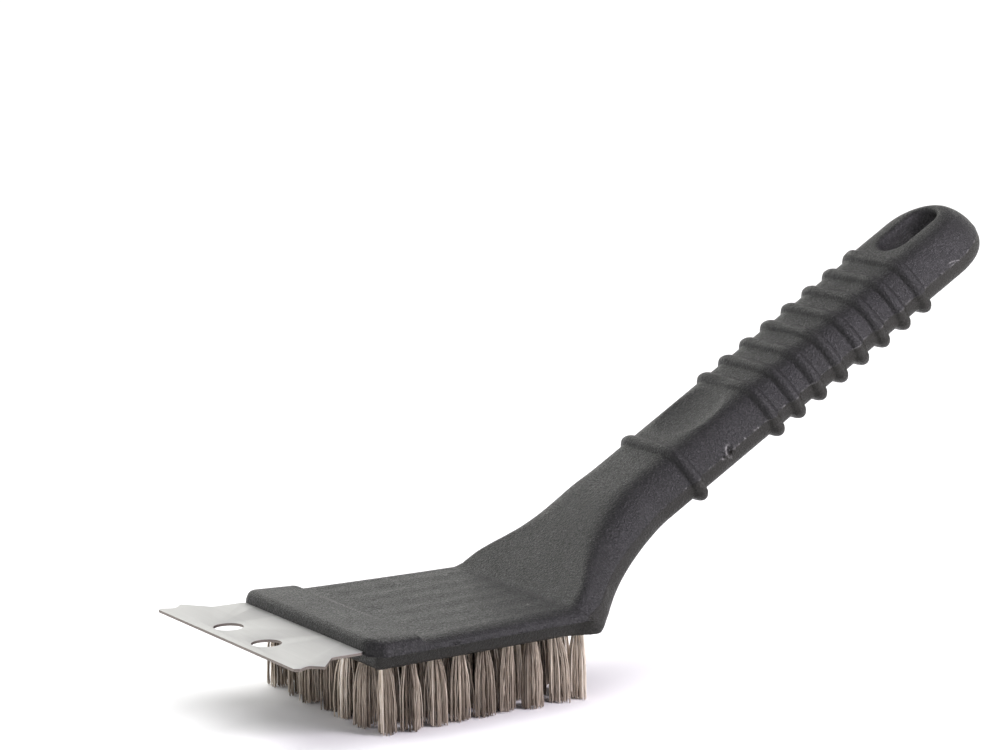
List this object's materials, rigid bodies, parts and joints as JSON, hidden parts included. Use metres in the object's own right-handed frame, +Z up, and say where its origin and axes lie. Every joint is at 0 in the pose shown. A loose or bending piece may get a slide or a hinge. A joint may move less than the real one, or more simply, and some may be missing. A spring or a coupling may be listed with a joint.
{
  "type": "grill cleaning brush",
  "caption": "Black moulded grill brush: ribbed channel-backed handle rising from a trapezoid block, staple-set wire tufts below, punched steel scraper sheet in front.",
  "frame": {"origin": "middle of the footprint box, on the plane of the wire tips", "axes": "+X from the scraper towards the hanging end, +Y to the left when looking along +X, +Z up out of the block's top, wires pointing down"},
  "size_m": [0.2226, 0.0766, 0.1098],
  "materials": {
    "body_plastic": "fine spark-eroded grain, slightly greyish on the upper faces",
    "scraper_steel": "cold-rolled stainless sheet with fine lines across its width",
    "wire": "drawn steel wire, brownish grey with paler strands",
    "anchor_steel": "bright flat wire"
  },
  "bodies": {
    "root": {"anchor_row_1": "anchor_steel", "anchor_row_2": "anchor_steel", "anchor_row_3": "anchor_steel", "anchor_row_4": "anchor_steel", "anchor_row_5": "anchor_steel", "anchor_row_6": "anchor_steel", "anchor_row_7": "anchor_steel", "anchor_row_8": "anchor_steel", "anchor_row_9": "anchor_steel", "bristle_row_1": "wire", "bristle_row_2": "wire", "bristle_row_3": "wire", "bristle_row_4": "wire", "bristle_row_5": "wire", "bristle_row_6": "wire", "bristle_row_7": "wire", "bristle_row_8": "wire", "bristle_row_9": "wire", "brush_body": "body_plastic", "scraper_blade": "scraper_steel"}
  },
  "joints": []
}
